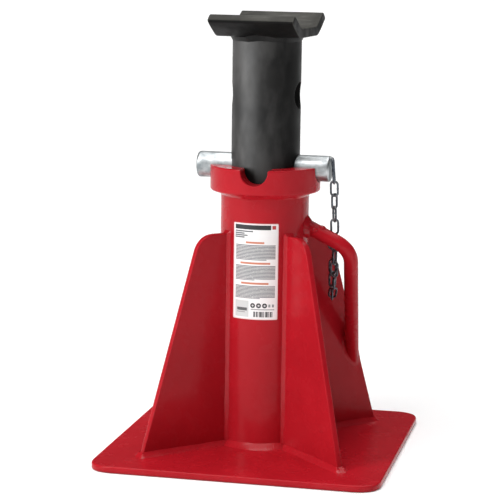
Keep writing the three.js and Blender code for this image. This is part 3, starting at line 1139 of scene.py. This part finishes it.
def support_pin(material):
    """A turned bar with rounded ends, laid along X."""
    rounding = marked_edge(PIN_ROUND, 6)
    face = PIN_R - PIN_ROUND - 1 * MM
    profile = [(face, PIN_LEFT, 0)]
    profile += [(PIN_R - d, PIN_LEFT + h, mark) for d, h, mark in rounding]
    profile += [(PIN_R, x, 0) for x in np.linspace(PIN_LEFT + 6 * MM, PIN_RIGHT - 6 * MM, 12)]
    profile += [(PIN_R - d, PIN_RIGHT - h, mark) for d, h, mark in reversed(rounding)]
    profile.append((face, PIN_RIGHT, 0))
    work = turned(profile, 72, hollow=False)
    work.points = [Vector((p.z, p.x, p.y + PIN_Z)) for p in work.points]
    return work.finish("support_pin_look", material)


# ---------------- chain
WIRE_SIDES = 12
LINK_WIRE = 1.05 * MM
LOOP_WIRE = 1.1 * MM
SEAM_LENGTH = 0.7 * MM
SEAM_SWELLING = 0.16


def link_frame(node):
    """Centre, long, wide and thin axes of a CAD link, with its outer half sizes along them."""
    cloud = np.array([v.co for v in frame["nodes"][node].data.vertices])
    cloud = np.unique(np.round(cloud, 7), axis=0)
    centre = cloud.mean(0)
    _, vectors = np.linalg.eigh(np.cov((cloud - centre).T))
    thin, wide, long = (Vector(vectors[:, k]) for k in range(3))
    spread = [np.abs((cloud - centre) @ np.array(axis)).max() for axis in (long, wide, thin)]
    return Vector(centre), (long, wide, thin), spread


def link_path(radius, straight):
    """(sideways, along) of a link's centre line: a round end, a straight leg, and the same again."""
    path = []
    for sign in (1, -1):
        for a in np.linspace(-pi / 2, pi / 2, 13):
            path.append((sign * radius * sin(a), sign * (straight + radius * cos(a))))
        path += [(sign * radius, sign * straight * f) for f in np.linspace(1, -1, 14)[1:-1]]
    return path


def link(node, wire, material):
    """An oval link of round wire, with the small swelling of its butt weld on one side."""
    centre, (long, wide, thin), (half_long, half_wide, _) = link_frame(node)
    radius = half_wide - wire
    straight = half_long - wire - radius
    path = link_path(radius, straight)
    rings, marks = [], []
    for i, (sideways, along) in enumerate(path):
        behind, ahead = path[i - 1], path[(i + 1) % len(path)]
        run_dir = Vector((ahead[0] - behind[0], ahead[1] - behind[1])).normalized()
        normal = wide * -run_dir.y + long * run_dir.x
        seam = exp(-(along / SEAM_LENGTH) ** 2) if sideways > 0.5 * radius else 0.0
        size = wire * (1 + SEAM_SWELLING * seam)
        middle = centre + wide * sideways + long * along
        rings.append(ring_round(middle, normal, thin, size, WIRE_SIDES))
        marks.append(min(1.0, max(0.0, (abs(along) - straight) / radius)) ** 2)
    return Patchwork().tube(rings, ring=True, edge=marks).finish(node + "_look", material, sharp=80)


# ---------------- studio
def new_light(name, kind, power, direction):
    """A light that shines along a direction."""
    data = bpy.data.lights.new(name, kind)
    data.energy = power
    light = bpy.data.objects.new(name, data)
    light.rotation_euler = direction.to_track_quat("-Z", "Y").to_euler()
    bpy.context.scene.collection.objects.link(light)
    return light


def area_light(name, place, target, size, power):
    light = new_light(name, "AREA", power, Vector(target) - Vector(place))
    light.location = place
    light.data.shape = "RECTANGLE"
    light.data.size, light.data.size_y = size
    return light


def sun_light(name, direction, strength, degrees):
    light = new_light(name, "SUN", strength, Vector(direction))
    light.data.angle = radians(degrees)


def world_light():
    """A dim surround with a bright band along the horizon, so that the floor fades into it."""
    world = bpy.data.worlds.new("studio")
    world.use_nodes = True
    bpy.context.scene.world = world
    nodes, links = world.node_tree.nodes, world.node_tree.links
    background = nodes["Background"]
    background.inputs["Color"].default_value = (1, 1, 1, 1)
    where = nodes.new("ShaderNodeTexCoord")
    split = nodes.new("ShaderNodeSeparateXYZ")
    fade = nodes.new("ShaderNodeMapRange")
    fade.interpolation_type = "SMOOTHSTEP"
    limits = {"From Min": BAND_FULL, "From Max": BAND_GONE, "To Min": HORIZON_GLOW, "To Max": SKY_GLOW}
    for socket, value in limits.items():
        fade.inputs[socket].default_value = value
    links.new(where.outputs["Generated"], split.inputs["Vector"])
    links.new(split.outputs["Z"], fade.inputs["Value"])
    links.new(fade.outputs["Result"], background.inputs["Strength"])


def only_for(light, pieces):
    """Keeps a light to a few pieces. No real lamp does this: it sets the ram's highlight alone."""
    group = bpy.data.collections.new(light.name + "_receivers")
    for piece in pieces:
        group.objects.link(piece)
    light.light_linking.receiver_collection = group


def studio():
    scene = bpy.context.scene
    scene.view_settings.view_transform = "Standard"
    scene.view_settings.look = "None"
    work = Patchwork()
    work.polygon([Vector((x, y, 0)) * FLOOR_HALF for x, y in ((-1, -1), (1, -1), (1, 1), (-1, 1))])
    floor = work.finish("floor", floor_finish())
    floor.location.z = -0.05 * MM
    world_light()
    sun_light("overhead", (0.05, 0.3, -1), 1.12, 50)
    sun_light("overhead_back", (0, -0.35, -1), 1.6, 50)
    sun_light("key", (0.5, 0.6, -0.8), 0.6, 45)
    sun_light("glint", (0.3, 0.7, -1.1), 0.14, 1.5)
    area_light("softbox", (-1.075, -1.153, 0.837), (0, 0, 0.3), (0.5, 1.1), 15.5)
    ram_box = area_light("ram_box", (-1.22, -1.02, 0.6), (0, 0, 0.34), (1.6, 0.9), 125)
    only_for(ram_box, [bpy.data.objects["ram_tube_look"]])


# ---------------- assembly
def build():
    red = red_enamel("red_enamel", 0.12)
    weld_red = red_enamel("red_enamel_on_welds", 0.35)
    ram_black = black_finish("black_ram", (0.005, 0.005, 0.005), (0.009, 0.0088, 0.0085), 0.44)
    charcoal = saddle_finish()
    zinc = zinc_plate()
    dark_zinc = chain_zinc()

    settle(base_plate(red), "base", "red_enamel", "base_plate")
    for name, degrees in GUSSET_TURNS.items():
        settle(gusset(name, degrees, red), "base", "red_enamel", name)
    settle(sleeve(red), "base", "red_enamel", "sleeve")
    settle(collar(red), "base", "red_enamel", "collar")
    settle(handle(red), "base", "red_enamel", "carry_handle")
    base_welds(weld_red)
    handle_tacks(weld_red)
    chain_tacks(weld_red, zinc)
    settle(label(printed_vinyl), "base", "printed_label", "label")

    settle(ram_tube(ram_black), "ram", "black_ram", "ram_tube")
    settle(saddle(charcoal), "ram", "black_saddle", "saddle")
    settle(saddle_weld().finish("weld_saddle", ram_black, sharp=WELD_SHARP), "ram", "black_ram")

    settle(support_pin(zinc), "pin", "zinc_pin", "support_pin")
    bodies = frame["record"]["behaviour"]["bodies"]
    for body in ("base", "pin", "chain_upper", "chain_tail"):
        for node in bodies[body]:
            if node.startswith("chain_") or node == "pin_loop":
                wire = LOOP_WIRE if node == "pin_loop" else LINK_WIRE
                settle(link(node, wire, dark_zinc), body, "chain_steel", node)


make_camera()
build()
studio()
